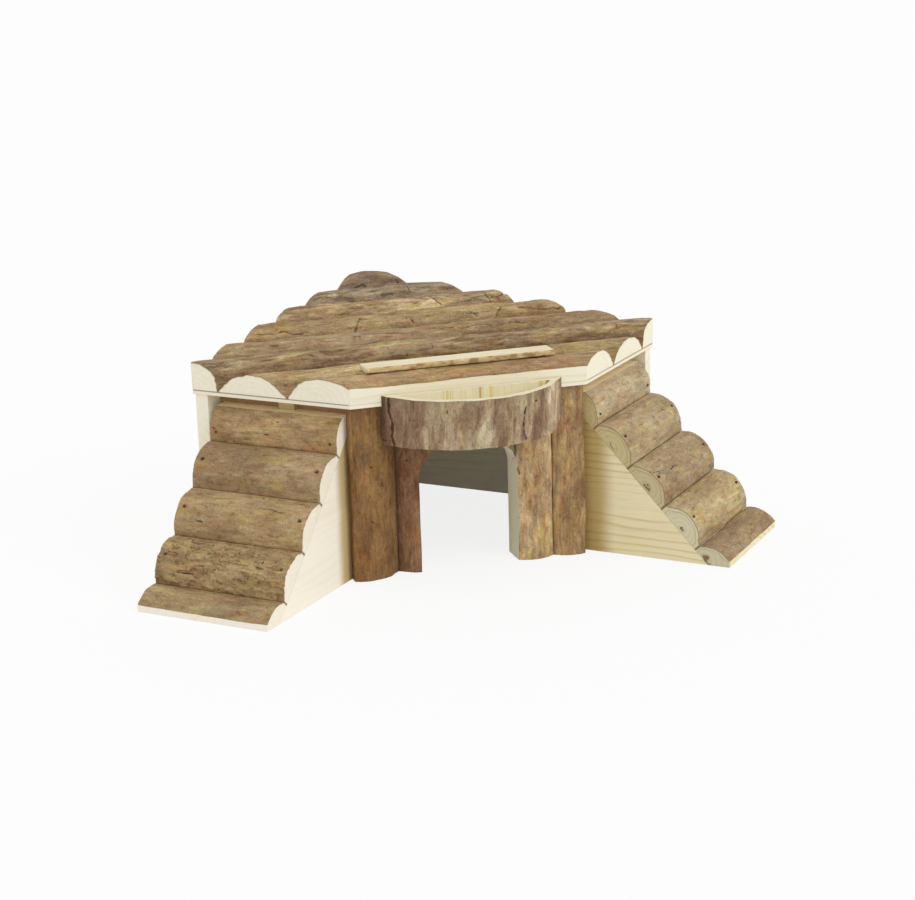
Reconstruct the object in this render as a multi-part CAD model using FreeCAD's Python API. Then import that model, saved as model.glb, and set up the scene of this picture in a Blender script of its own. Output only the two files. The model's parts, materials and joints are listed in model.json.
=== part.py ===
"""Corner house for a hamster, made of pine boards and bark-covered half logs.

The plan is a square whose front corner is cut off at 45 degrees. The doorway is in that short
front, a ladder climbs each of the two faces beside it, and the two longest walls stand in the
corner of a cage. The log roof lifts off as one slab.

Construction frame: X to the right along the front, Y back, Z up, with Y = 0 on the front edge of
the roof. Everything is moved along Y at the end, so that the origin is under the middle of the
whole house. Sizes are in millimetres.
"""
import FreeCAD, Part
import math
import os

Vector = FreeCAD.Vector

# ---- the house ----
HOUSE_HEIGHT = 100.0       # floor to the underside of the roof
FRONT_EDGE = 137.0         # roof edge above the doorway
BOARD = 8.0                # thickness of every pine board

FRONT_INSET = 15.0         # roof edge to the front board, filled by the front posts
FACE_INSET = 13.5          # roof edge to the board behind each ladder
BACK_INSET = 1.0           # roof edge to the back walls
END_INSET = 1.0            # roof edge to the front ends of the back walls

# ---- doorway ----
DOOR_WIDTH = 57.4
DOOR_HEIGHT = 72.0
DOOR_CORNER = 18.0         # radius of its two upper corners
DOOR_SAW = 4.0             # the saw cut starts and ends this far clear of the wood

# ---- half logs that clad the front: width, height of each long side, crest ----
POST_TOP_GAP = 0.4         # under the roof, so that the roof lifts freely
OUTER_POST_LEFT = (28.3, 9.0, 0.8, 11.3)
OUTER_POST_RIGHT = (18.3, 7.8, 11.6, 12.9)
INNER_POST_LEFT = (0.8, 7.0, 7.9)
INNER_POST_RIGHT = (9.6, 7.8, 11.6)
LINTEL_LOGS = 2
LINTEL_START = 12.2        # the left inner post reaches this far over the doorway
LINTEL_SIDE = 6.5
POST_GAP = 0.3             # between neighbouring half logs

# ---- roof ----
PANEL = 2.5                # plywood under the roof logs
LOG_SIDE = 1.0             # height at which the bark of a roof log begins
LOG_GAP = 0.2
LOG_RIP = 4.5              # sawn off the first roof log along the front edge
LOG_WIDTHS = [28.0, 31.7, 24.8, 25.0, 24.5, 23.5, 26.5, 27.3]
LOG_HEIGHTS = [13.5, 11.5, 16.0, 18.0, 22.5, 26.0, 29.5, 34.5]

CLEAT = 8.0                # square strips under the roof that keep it in place
CLEAT_PLAY = 1.5           # between a cleat and the wall beside it
FRONT_CLEAT_LENGTH = 80.0
BACK_CLEAT_LENGTH = 90.0
BACK_CLEAT_START = 50.0    # from the other back edge of the roof

# ---- name plate, left bare ----
PLATE = (110.0, 14.0, 3.0)
PLATE_FRONT = 11.0         # from the front edge of the roof
PLATE_SHIFT = -0.8

# ---- food bowl: a slice of trunk with a flat back and a hollow in its top ----
BOWL_RADIUS = 58.5
BOWL_REACH = 32.4          # how far it stands out from the roof edge
BOWL_HEIGHT = 27.0
BOWL_RISE = 6.0            # its rim above the underside of the roof
BOWL_SHIFT = 1.0
BOWL_RIM = 4.5
BOWL_BACK = 3.5
BOWL_END = 9.0             # solid wood left at each end of the hollow
BOWL_DEPTH = 17.0
BOWL_CLEAR = 0.4           # between its flat back and the front edge of the roof

# ---- ladders ----
LADDER_START = 8.0         # along the face, from the front corner of the roof
LADDER_WIDTH = 81.0
LADDER_WALL_GAP = 3.0      # between a ladder and the back wall beside it
LADDER_DROP = 6.5          # underside of the roof to the top of the ladder
LADDER_BOARD_DROP = 13.05  # underside of the roof to the top of its side boards
LADDER_BOARD_RUN = 82.5    # foot of a side board, measured from the wall
LADDER_RUN = 95.5          # sawn front of the lowest rung, measured from the wall
RUNG_PITCH = 29.6
RUNG_FIRST = 10.9          # top edge of the lowest rung, measured up the slope from the floor
RUNG_SIDE = 3.7
RUNG_CRESTS = [12.3, 11.4, 10.9, 11.2, 11.8]
RUNG_GAP = 0.15
BLOCK = (10.0, 3.5)        # small block on each ladder, under the roof: width, depth
BLOCK_PLACE = 33.5         # from the near side of the ladder
BLOCK_GAP = 0.4            # under the roof

# ---- nails ----
NAIL_RADIUS = 0.7
LADDER_NAIL = 16.0
NAIL_CLEAR = 1.0           # between a ladder nail's point and the wall
LADDER_NAIL_INSET = 4.0    # from each end of a rung, the middle of its side board
TOP_NAIL_PLACE = 4.0       # from the lower edge of the top rung, which is sawn off
TOP_NAIL_HEIGHT = 8.0      # of that nail's head over the side board
ROOF_NAIL = 8.0
ROOF_NAIL_INSET = 16.0
POST_NAIL = 12.0
POST_NAIL_HEIGHTS = (12.0, 85.0)
BOWL_NAIL = 14.0
BOWL_NAIL_SPACING = 22.0
WALL_NAIL = 20.0
WALL_NAIL_HEIGHTS = (14.0, 50.0, 86.0)

# ---- places that follow from the sizes above ----
DIAGONAL = math.sqrt(0.5)
HALF_FRONT = FRONT_EDGE / 2
SIDE_FACE = LADDER_START + LADDER_WIDTH + LADDER_WALL_GAP + BOARD + BACK_INSET   # roof edge over a ladder
SIDE_X = HALF_FRONT + SIDE_FACE * DIAGONAL
SIDE_Y = SIDE_FACE * DIAGONAL
BACK_Y = SIDE_Y + SIDE_X
LADDER_TOP = HOUSE_HEIGHT - LADDER_DROP
LADDER_FOOT = LADDER_RUN - FACE_INSET
TOE_Y = (LADDER_START - LADDER_FOOT) * DIAGONAL
ORIGIN_Y = (BACK_Y + TOE_Y) / 2
SLOPE = math.atan2(HOUSE_HEIGHT - LADDER_BOARD_DROP, LADDER_BOARD_RUN)
PANEL_TOP = HOUSE_HEIGHT + PANEL

# A plan line is a point and the direction out of the house, square to the line.
LEFT_FACE = (Vector(-HALF_FRONT, 0, 0), Vector(-DIAGONAL, -DIAGONAL, 0))
LEFT_BACK = (Vector(0, BACK_Y, 0), Vector(-DIAGONAL, DIAGONAL, 0))
RIGHT_BACK = (Vector(0, BACK_Y, 0), Vector(DIAGONAL, DIAGONAL, 0))
FRONT = (Vector(0, 0, 0), Vector(0, -1, 0))

PIECES = {}


def inset(line, distance):
    """The same plan line, moved into the house."""
    point, outward = line
    return point - outward * distance, outward


def meet(first, second):
    """The plan point where two lines cross."""
    (p, n), (q, m) = first, second
    a, b = p.dot(n), q.dot(m)
    det = n.x * m.y - n.y * m.x
    return Vector((a * m.y - b * n.y) / det, (n.x * b - m.x * a) / det, 0)


def prism(points, bottom, height):
    """An upright solid on a plan polygon."""
    corners = [Vector(p.x, p.y, bottom) for p in points]
    return Part.Face(Part.makePolygon(corners + corners[:1])).extrude(Vector(0, 0, height))


def pick(sizes, number):
    """A size from a list whose last entry also holds for every further piece."""
    return sizes[min(number, len(sizes) - 1)]


def mirrored(shape):
    return shape.mirror(Vector(0, 0, 0), Vector(1, 0, 0))


def half_log(length, width, left, right, crest):
    """A log sawn lengthwise: along X, flat side on Z = 0, Y from 0 to its width."""
    ends = [Vector(0, width, right), Vector(0, width, 0), Vector(0, 0, 0), Vector(0, 0, left)]
    arc = Part.Arc(ends[-1], Vector(0, width / 2, crest), ends[0])
    profile = Part.Wire([arc.toShape()] + Part.makePolygon(ends).Edges)
    return Part.Face(profile).extrude(Vector(length, 0, 0))


def roof_outline():
    left = [Vector(-HALF_FRONT, 0, 0), Vector(-SIDE_X, SIDE_Y, 0)]
    right = [Vector(-p.x, p.y, 0) for p in reversed(left)]
    return left + [Vector(0, BACK_Y, 0)] + right


def nail(head, direction, length):
    return Part.makeCylinder(NAIL_RADIUS, length, head, direction)


def drive(name, nails, into):
    """Adds a group of nails and bores the pieces that they go through."""
    for target in into:
        PIECES[target] = PIECES[target].cut(Part.makeCompound(nails))
    PIECES[name] = Part.makeCompound(nails)


# ---- walls ----

def doorway():
    """The arched space that is cut through the front."""
    half = DOOR_WIDTH / 2
    spring = DOOR_HEIGHT - DOOR_CORNER
    bend = DOOR_CORNER * (1 - DIAGONAL)
    corners = {"foot": (half, 0), "spring": (half, spring),
               "bend": (half - bend, DOOR_HEIGHT - bend), "top": (half - DOOR_CORNER, DOOR_HEIGHT)}
    right = {name: Vector(x, -DOOR_SAW, z) for name, (x, z) in corners.items()}
    left = {name: Vector(-x, -DOOR_SAW, z) for name, (x, z) in corners.items()}
    outline = [
        Part.LineSegment(left["foot"], right["foot"]),
        Part.LineSegment(right["foot"], right["spring"]),
        Part.Arc(right["spring"], right["bend"], right["top"]),
        Part.LineSegment(right["top"], left["top"]),
        Part.Arc(left["top"], left["bend"], left["spring"]),
        Part.LineSegment(left["spring"], left["foot"]),
    ]
    wire = Part.Wire([side.toShape() for side in outline])
    return Part.Face(wire).extrude(Vector(0, FRONT_INSET + BOARD + 2 * DOOR_SAW, 0))


def wall_lines():
    """Outer and inner plan lines of the left half's walls."""
    lines = {"front": inset(FRONT, FRONT_INSET), "face": inset(LEFT_FACE, FACE_INSET)}
    lines["back"] = inset(LEFT_BACK, BACK_INSET)
    lines.update({name + "_in": inset(line, BOARD) for name, line in list(lines.items())})
    lines["end"] = inset(LEFT_FACE, END_INSET)
    return lines


def make_walls():
    lines = wall_lines()
    outer = meet(lines["front"], lines["face"])
    inner = meet(lines["front_in"], lines["face_in"])
    mitre = [outer, Vector(-outer.x, outer.y, 0), Vector(-inner.x, inner.y, 0), inner]
    PIECES["front_board"] = prism(mitre, 0, HOUSE_HEIGHT).cut(doorway())

    face = [outer, meet(lines["face"], lines["back_in"]), meet(lines["face_in"], lines["back_in"]), inner]
    PIECES["left_face_board"] = prism(face, 0, HOUSE_HEIGHT)
    PIECES["right_face_board"] = mirrored(PIECES["left_face_board"])

    start = meet(lines["back"], lines["end"])
    start_in = meet(lines["back_in"], lines["end"])
    right_outer = inset(RIGHT_BACK, BACK_INSET)
    left = [start, meet(lines["back"], right_outer), meet(lines["back_in"], right_outer), start_in]
    PIECES["left_back_wall"] = prism(left, 0, HOUSE_HEIGHT)
    right_in = inset(right_outer, BOARD)
    right = [Vector(-start.x, start.y, 0), meet(lines["back_in"], right_outer),
             meet(lines["back_in"], right_in), Vector(-start_in.x, start_in.y, 0)]
    PIECES["right_back_wall"] = prism(right, 0, HOUSE_HEIGHT)


def make_wall_nails():
    """Nails through the back walls into the face boards, and through the back corner."""
    lines = wall_lines()
    head = (meet(lines["face"], lines["back"]) + meet(lines["face_in"], lines["back"])) * 0.5
    inward = LEFT_BACK[1] * -1
    right_outer = inset(RIGHT_BACK, BACK_INSET)
    corner = (meet(lines["back"], right_outer) + meet(lines["back"], inset(right_outer, BOARD))) * 0.5
    nails = []
    for height in WALL_NAIL_HEIGHTS:
        up = Vector(0, 0, height)
        nails.append(nail(head + up, inward, WALL_NAIL))
        nails.append(mirrored(nails[-1]))
        nails.append(nail(corner + up, inward, WALL_NAIL))
    walls = ["left_back_wall", "right_back_wall", "left_face_board", "right_face_board"]
    drive("wall_nails", nails, walls)


# ---- front ----

def front_log(left_x, right_x, left, right, crest, bottom=0.0):
    """A half log that stands against the front board with its bark outwards."""
    top = HOUSE_HEIGHT - POST_TOP_GAP
    log = half_log(top - bottom, right_x - left_x, left, right, crest)
    stand = FreeCAD.Matrix(0, 1, 0, left_x, 0, 0, -1, FRONT_INSET, 1, 0, 0, bottom, 0, 0, 0, 1)
    return log.transformed(stand)


def make_front_logs():
    edge = HALF_FRONT
    left_width, *left_shape = OUTER_POST_LEFT
    right_width, *right_shape = OUTER_POST_RIGHT
    inner_left = left_width - edge
    inner_right = edge - right_width
    lintel_left = LINTEL_START - DOOR_WIDTH / 2
    lintel_right = DOOR_WIDTH / 2
    posts = [
        front_log(-edge, inner_left - POST_GAP, *left_shape),
        front_log(inner_left, lintel_left - POST_GAP, *INNER_POST_LEFT),
        front_log(lintel_right, inner_right - POST_GAP, *INNER_POST_RIGHT),
        front_log(inner_right, edge, *right_shape),
    ]
    ladder = ladder_footprint()
    for number, post in enumerate(posts, 1):
        PIECES["front_post_%d" % number] = post.cut(doorway()).cut(ladder)

    span = (lintel_right - lintel_left) / LINTEL_LOGS
    crest = FRONT_INSET + BOWL_CLEAR
    for number in range(LINTEL_LOGS):
        left = lintel_left + span * number
        log = front_log(left, left + span - POST_GAP, LINTEL_SIDE, LINTEL_SIDE, crest)
        PIECES["lintel_log_%d" % (number + 1)] = log.cut(doorway())


def ladder_footprint():
    """The room that both ladders need beside the outer posts."""
    near = LADDER_START - POST_GAP
    block = Part.makeBox(LADDER_WIDTH, LADDER_RUN, HOUSE_HEIGHT, Vector(near, -FACE_INSET, 0))
    block = block.transformed(ladder_place())
    return block.fuse(mirrored(block))


def nail_line(box):
    """The X of a front log's nails: the middle of what stands beside or above the doorway."""
    jamb = DOOR_WIDTH / 2
    left = max(box.XMin, jamb) if box.XMax > jamb else box.XMin
    right = min(box.XMax, -jamb) if box.XMin < -jamb else box.XMax
    return (left + right) / 2


def make_front_nails():
    """Nails driven from inside through the front board into every front log."""
    inside = FRONT_INSET + BOARD
    nails = []
    into = [name for name in PIECES if name.startswith(("front_post", "lintel_log"))]
    for name in into:
        x = nail_line(PIECES[name].BoundBox)
        for height in POST_NAIL_HEIGHTS:
            if abs(x) > DOOR_WIDTH / 2 or height > DOOR_HEIGHT:
                nails.append(nail(Vector(x, inside, height), Vector(0, -1, 0), POST_NAIL))
    drive("front_nails", nails, into + ["front_board"])


# ---- roof ----

def roof_log_edges():
    """Where each roof log begins and ends. Their widths are fitted to the depth of the roof."""
    widths = [LOG_WIDTHS[0]]
    while sum(widths) + pick(LOG_WIDTHS, len(widths)) / 2 <= BACK_Y:
        widths.append(pick(LOG_WIDTHS, len(widths)))
    fit = BACK_Y / sum(widths)
    edges = [0.0]
    for width in widths:
        edges.append(edges[-1] + width * fit)
    return edges


def make_roof():
    PIECES["roof_panel"] = prism(roof_outline(), HOUSE_HEIGHT, PANEL)
    edges = roof_log_edges()
    limit = prism(roof_outline(), PANEL_TOP, max(LOG_HEIGHTS))
    nails = []
    into = ["roof_panel"]
    for number, (front, back) in enumerate(zip(edges, edges[1:]), 1):
        start = front if number > 1 else front - LOG_RIP
        width = back - start - LOG_GAP
        crest = pick(LOG_HEIGHTS, number - 1)
        side = max(LOG_SIDE, crest - width / 2)
        log = half_log(2 * SIDE_X, width, side, side, crest)
        log.translate(Vector(-SIDE_X, start, PANEL_TOP))
        name = "roof_log_%d" % number
        PIECES[name] = log.common(limit)
        into.append(name)
        middle = (front + back) / 2
        reach = min(HALF_FRONT + middle, BACK_Y - middle) - ROOF_NAIL_INSET
        places = (-reach, reach) if reach > ROOF_NAIL_INSET else (0,)
        for x in places:
            nails.append(nail(Vector(x, middle, HOUSE_HEIGHT), Vector(0, 0, 1), ROOF_NAIL))
    drive("roof_nails", nails, into)


def make_cleats():
    """Strips glued under the roof, just inside the walls."""
    bottom = HOUSE_HEIGHT - CLEAT
    front = FRONT_INSET + BOARD + CLEAT_PLAY
    PIECES["roof_cleat_front"] = Part.makeBox(FRONT_CLEAT_LENGTH, CLEAT, CLEAT,
                                              Vector(-FRONT_CLEAT_LENGTH / 2, front, bottom))
    outer = inset(LEFT_BACK, BACK_INSET + BOARD + CLEAT_PLAY)
    inner = inset(outer, CLEAT)
    far = inset(RIGHT_BACK, BACK_CLEAT_START)
    near = inset(far, BACK_CLEAT_LENGTH)
    plan = [meet(outer, near), meet(outer, far), meet(inner, far), meet(inner, near)]
    PIECES["roof_cleat_left"] = prism(plan, bottom, CLEAT)
    PIECES["roof_cleat_right"] = mirrored(PIECES["roof_cleat_left"])


def make_plate():
    length, depth, thickness = PLATE
    corner = Vector(PLATE_SHIFT - length / 2, PLATE_FRONT, PANEL_TOP + LOG_HEIGHTS[0])
    PIECES["name_plate"] = Part.makeBox(length, depth, thickness, corner)


# ---- food bowl ----

def trunk_slice(radius, bottom, height, back):
    """A round slice about the bowl's centre, flat where it meets the house."""
    centre = Vector(BOWL_SHIFT, BOWL_RADIUS - BOWL_REACH, bottom)
    disc = Part.makeCylinder(radius, height, centre)
    corner = Vector(BOWL_SHIFT - radius, back - 2 * radius, bottom)
    front = Part.makeBox(2 * radius, 2 * radius, height, corner)
    return disc.common(front)


def make_bowl():
    top = HOUSE_HEIGHT + BOWL_RISE
    body = trunk_slice(BOWL_RADIUS, top - BOWL_HEIGHT, BOWL_HEIGHT, -BOWL_CLEAR)
    hollow = trunk_slice(BOWL_RADIUS - BOWL_RIM, top - BOWL_DEPTH, BOWL_DEPTH, -BOWL_CLEAR - BOWL_BACK)
    box = body.BoundBox
    room = Part.makeBox(box.XLength - 2 * BOWL_END, BOWL_REACH, BOWL_DEPTH,
                        Vector(box.XMin + BOWL_END, -BOWL_REACH, top - BOWL_DEPTH))
    PIECES["food_bowl"] = body.cut(hollow.common(room))
    height = HOUSE_HEIGHT - BOWL_RISE
    nails = []
    for side in (-0.5, 0.5):
        x = LINTEL_START / 2 + side * BOWL_NAIL_SPACING
        head = Vector(x, -BOWL_CLEAR - BOWL_BACK, height)
        nails.append(nail(head, Vector(0, 1, 0), BOWL_NAIL))
    drive("bowl_nails", nails, ["food_bowl", "lintel_log_1", "lintel_log_2"])


# ---- ladders ----

def ladder_place():
    """Takes a ladder from its own frame (X along the face, Y out, Z up) to the left face."""
    d = DIAGONAL
    return FreeCAD.Matrix(-d, -d, 0, -HALF_FRONT, d, -d, 0, 0, 0, 0, 1, 0, 0, 0, 0, 1)


def on_slope(along, above):
    """A point of the ladder's side view, from the foot of its side board."""
    foot = LADDER_BOARD_RUN - FACE_INSET
    return Vector(0, foot - along * math.cos(SLOPE) + above * math.sin(SLOPE),
                  along * math.sin(SLOPE) + above * math.cos(SLOPE))


def make_side_boards():
    wall = -FACE_INSET
    view = [Vector(0, wall, 0), Vector(0, LADDER_BOARD_RUN - FACE_INSET, 0),
            Vector(0, wall, HOUSE_HEIGHT - LADDER_BOARD_DROP)]
    board = Part.Face(Part.makePolygon(view + view[:1])).extrude(Vector(BOARD, 0, 0))
    boards = {}
    for name, start in (("inner", LADDER_START), ("outer", LADDER_START + LADDER_WIDTH - BOARD)):
        boards["ladder_%s_board" % name] = board.translated(Vector(start, 0, 0))
    return boards


def make_rungs():
    """Half logs side by side up the slope, trimmed at the floor, the toe, the wall and the top."""
    trim = Part.makeBox(LADDER_WIDTH, LADDER_RUN, LADDER_TOP, Vector(LADDER_START, -FACE_INSET, 0))
    climb = (LADDER_BOARD_RUN / math.cos(SLOPE) - RUNG_FIRST) / RUNG_PITCH
    rungs = {}
    for number in range(math.ceil(climb) + 1):
        top = RUNG_FIRST + RUNG_PITCH * number - RUNG_GAP / 2
        bottom = top - RUNG_PITCH + RUNG_GAP
        crest = pick(RUNG_CRESTS, number)
        sides = [on_slope(bottom, RUNG_SIDE), on_slope(bottom, 0)]
        sides += [on_slope(top, 0), on_slope(top, RUNG_SIDE)]
        arc = Part.Arc(sides[-1], on_slope((bottom + top) / 2, crest), sides[0])
        profile = Part.Wire([arc.toShape()] + Part.makePolygon(sides).Edges)
        log = Part.Face(profile).extrude(Vector(LADDER_WIDTH, 0, 0)).translated(Vector(LADDER_START, 0, 0))
        rungs["ladder_rung_%d" % (number + 1)] = log.common(trim)
    return rungs


def ladder_nails(count):
    """One nail through each end of every rung but the lowest, square to the slope."""
    inward = on_slope(0, 0) - on_slope(0, 1)
    nails = []
    for number in range(1, count):
        middle = RUNG_FIRST + RUNG_PITCH * (number - 0.5)
        head_height = pick(RUNG_CRESTS, number)
        if number == count - 1:
            middle = RUNG_FIRST + RUNG_PITCH * (number - 1) + TOP_NAIL_PLACE
            head_height = TOP_NAIL_HEIGHT
        for end in (LADDER_NAIL_INSET, LADDER_WIDTH - LADDER_NAIL_INSET):
            head = on_slope(middle, head_height) + Vector(LADDER_START + end, 0, 0)
            to_wall = (head.y + FACE_INSET) / math.sin(SLOPE)
            nails.append(nail(head, inward, min(LADDER_NAIL, to_wall - NAIL_CLEAR)))
    return nails


def make_ladders():
    boards = make_side_boards()
    rungs = make_rungs()
    parts = {**boards, **rungs}
    nails = Part.makeCompound(ladder_nails(len(rungs)))
    for name in parts:
        parts[name] = parts[name].cut(nails)
    width, depth = BLOCK
    parts["ladder_block"] = Part.makeBox(width, depth, LADDER_DROP - BLOCK_GAP,
                                         Vector(LADDER_START + BLOCK_PLACE, -FACE_INSET, LADDER_TOP))
    parts["ladder_nails"] = nails
    for name, shape in parts.items():
        PIECES["left_" + name] = shape.transformed(ladder_place())
        PIECES["right_" + name] = mirrored(PIECES["left_" + name])


# ---- the whole house ----

def main():
    make_walls()
    make_wall_nails()
    make_front_logs()
    make_front_nails()
    make_bowl()
    make_ladders()
    make_roof()
    make_cleats()
    make_plate()
    os.makedirs("parts", exist_ok=True)
    for name, shape in PIECES.items():
        shape.translate(Vector(0, -ORIGIN_Y, 0))
        shape.exportStep("parts/%s.step" % name)
        print("%-28s solids %2d  volume %9.1f" % (name, len(shape.Solids), shape.Volume))


main()
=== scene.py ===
"""Looks of the corner hamster house: bark half logs, pine boards, a trunk-slice bowl and nails.

Every piece is drawn out of its construction node: a log from the section of its half log, a board
from its own faces. Lengths are in metres, and MM turns a millimetre value into metres. Bark is
shaped in the mesh, and the finer grain comes from the materials.
"""
import json
import math

import bmesh
import bpy
from mathutils import Matrix, Vector, noise

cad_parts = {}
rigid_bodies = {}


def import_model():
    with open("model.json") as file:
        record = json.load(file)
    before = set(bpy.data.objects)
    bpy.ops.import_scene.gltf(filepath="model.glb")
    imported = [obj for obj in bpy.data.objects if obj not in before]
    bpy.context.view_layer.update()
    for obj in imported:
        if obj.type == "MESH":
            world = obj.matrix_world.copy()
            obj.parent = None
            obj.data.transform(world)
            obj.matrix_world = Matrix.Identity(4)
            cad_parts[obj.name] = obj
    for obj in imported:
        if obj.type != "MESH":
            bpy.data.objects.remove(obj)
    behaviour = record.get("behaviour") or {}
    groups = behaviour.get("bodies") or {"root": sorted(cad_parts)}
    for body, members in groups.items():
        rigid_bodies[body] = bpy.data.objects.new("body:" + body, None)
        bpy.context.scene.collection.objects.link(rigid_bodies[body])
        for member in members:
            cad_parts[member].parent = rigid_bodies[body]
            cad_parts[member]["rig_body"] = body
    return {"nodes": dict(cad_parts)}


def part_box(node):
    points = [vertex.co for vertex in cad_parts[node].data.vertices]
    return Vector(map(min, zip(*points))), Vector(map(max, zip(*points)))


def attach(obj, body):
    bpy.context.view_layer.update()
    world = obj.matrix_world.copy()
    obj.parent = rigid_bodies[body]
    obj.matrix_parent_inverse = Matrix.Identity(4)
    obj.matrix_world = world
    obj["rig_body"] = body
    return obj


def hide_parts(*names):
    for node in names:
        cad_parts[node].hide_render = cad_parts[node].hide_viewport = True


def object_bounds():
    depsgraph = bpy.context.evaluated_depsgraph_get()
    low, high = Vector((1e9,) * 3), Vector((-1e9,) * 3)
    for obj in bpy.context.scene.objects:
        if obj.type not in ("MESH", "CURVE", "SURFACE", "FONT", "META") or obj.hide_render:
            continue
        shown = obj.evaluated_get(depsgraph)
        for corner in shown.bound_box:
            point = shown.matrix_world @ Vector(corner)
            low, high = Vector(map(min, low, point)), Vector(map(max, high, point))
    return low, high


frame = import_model()
cad_low, cad_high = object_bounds()

MM = 0.001
X, Y, Z = Vector((1, 0, 0)), Vector((0, 1, 0)), Vector((0, 0, 1))
LEFT_INWARD, RIGHT_INWARD = Vector((-1, 1, 0)).normalized(), Vector((1, 1, 0)).normalized()

# ---- camera: its place, how it is turned in degrees, its focal length in widths of its sensor ----
CAMERA_PLACE = Vector((-350.1, -1119.2, 375.7)) * MM
CAMERA_YAW, CAMERA_PITCH, CAMERA_ROLL = 18.19, -15.57, -1.53
CAMERA_LENS, SENSOR_WIDTH = 2.2543, 36

# ---- light ----
SKY_STRENGTH, KEY_STRENGTH, KEY_ANGLE = 0.82, 0.75, 40
KEY_FROM = Vector((0.8, -1.0, 1.0))
FLOOR_SIZE, FLOOR_GLOW = 8, 0.84

# ---- meshes ----
NEAR_CUT = 1e-6              # a point this near a cut lies on it
MERGE_GAP = 0.002 * MM
FLAT_ANGLE = math.radians(0.4)   # faces that turn less than this make one flat face
SAME_WAY = 0.995             # least dot product of two directions that count as one
LEAST_LEFT = 0.3             # least share of a piece that a good cut leaves
CUT_TRIES, CUT_SHIFT = 4, 0.01 * MM

# ---- logs ----
STEP_ALONG, STEP_AROUND = 0.8 * MM, 0.7 * MM
SPARE_END = 18 * MM          # a log is drawn this much too long at each end, then sawn
END_TILT = 0.3               # least share of a log's direction in that of its sawn end
LEAST_END_AREA = 20 * MM * MM
OUTERMOST = 0.02 * MM        # nothing of a log lies further out than this from its sawn end
PITH_SHARE = 0.22            # of the way from the flat side to the middle of a sawn end
BARK, END, FLAT = 0, 1, 2    # the order of a log's materials

# ---- bark, in mm ----
BARK_MEAN, BARK_MOST = -0.45, 0.25   # how deep the bark lies, and how far it may stand out
PLATE_HEIGHT, CRACK_DEPTH, BARE_DEPTH = 0.6, 0.8, 0.25
STRIP = 5.5                  # between the lines along which bark splits
CRACK_HALF = 0.55
CRACK_RUN, CROSS_RUN = 16, 7         # how far a crack runs along the log and across it
PLATE_LONG, PLATE_WIDE, PLATE_GAP = 5.2, 2.4, 0.16
LIFTED_EDGE = 4.0            # how far from a split its edge is lifted
DENT_EDGE, DENT_DEPTH = 1.7, 0.65    # a nail's dent: its radius, and its depth as a share of a crack's
BED_RISE = 0.2               # share of a log's height over which its relief sets in

# ---- doorway: a hair wider than that of the board ----
DOOR_WIDTH, DOOR_HEIGHT, DOOR_CORNER = 57.4 * MM, 72 * MM, 18 * MM
DOOR_BEFORE, DOOR_BEHIND = 40 * MM, 5 * MM   # how far its space reaches past the front board

# ---- boards ----
EASED_EDGE, FINE_EDGE, PANEL_EDGE, PLATE_EDGE = 0.35 * MM, 0.12 * MM, 0.3 * MM, 0.8 * MM
SHARP_ANGLE, SHORTEST_SHARP = math.radians(30), 0.8 * MM
OUTSIDE = 0.9                # least dot product of an outer face's direction with the board's own
# painted shade: the tint and reach of the darkening of the ladders' side boards where they meet the house
PAINTED_SHADE_TINT = (0.74, 0.64, 0.40)
PAINTED_SHADE_REACH = {"left": 21 * MM, "right": 28 * MM}


# ---- shaders ----

def colour(red, green, blue):
    """A colour as a screen shows it, 0 to 255, made linear."""
    shares = [value / 255 for value in (red, green, blue)]
    return [s / 12.92 if s <= 0.04045 else ((s + 0.055) / 1.055) ** 2.4 for s in shares] + [1.0]


def tinted(tone, red, green, blue):
    """A tone with each of its channels multiplied."""
    return colour(*(min(255, part * share) for part, share in zip(tone, (red, green, blue))))


class Value:
    """A number of a shader. Arithmetic on it adds the Math nodes."""

    def __init__(self, nodes, socket):
        self.nodes, self.socket = nodes, socket

    def maths(self, operation, *others):
        return self.nodes.maths(operation, self, *others)

    def __add__(self, other):
        return self.maths("ADD", other)

    def __sub__(self, other):
        return self.maths("SUBTRACT", other)

    def __rsub__(self, other):
        return self.nodes.maths("SUBTRACT", other, self)

    def __mul__(self, other):
        return self.maths("MULTIPLY", other)

    __radd__ = __add__
    __rmul__ = __mul__


class Nodes:
    """The nodes of a material or of the world."""

    def __init__(self, tree):
        self.tree = tree

    def node(self, kind, settings=None, values=None, output=0):
        """Adds a node, sets it up, joins or sets its inputs and gives one of its outputs."""
        made = self.tree.nodes.new(kind)
        for key, setting in (settings or {}).items():
            setattr(made, key, setting)
        for key, value in (values or {}).items():
            self.join(made.inputs[key], value)
        return Value(self, made.outputs[output])

    def join(self, socket, value):
        if isinstance(value, Value):
            self.tree.links.new(value.socket, socket)
        else:
            socket.default_value = value

    def maths(self, operation, *values):
        return self.node("ShaderNodeMath", {"operation": operation}, dict(enumerate(values)))

    def backdrop_ray(self):
        """1 for rays from the camera, off a gloss or through glass, 0 for the light itself."""
        rays = [self.node("ShaderNodeLightPath", None, None, "Is %s Ray" % kind)
                for kind in ("Camera", "Glossy", "Transmission")]
        return rays[0].maths("MAXIMUM", rays[1]).maths("MAXIMUM", rays[2])

    def end_in_both(self, output, share, first, second):
        """Ends the tree in two shaders, the second on a share of it."""
        both = self.node("ShaderNodeMixShader", None, {0: share, 1: first, 2: second})
        self.join(self.tree.nodes[output].inputs[0], both)


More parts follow.
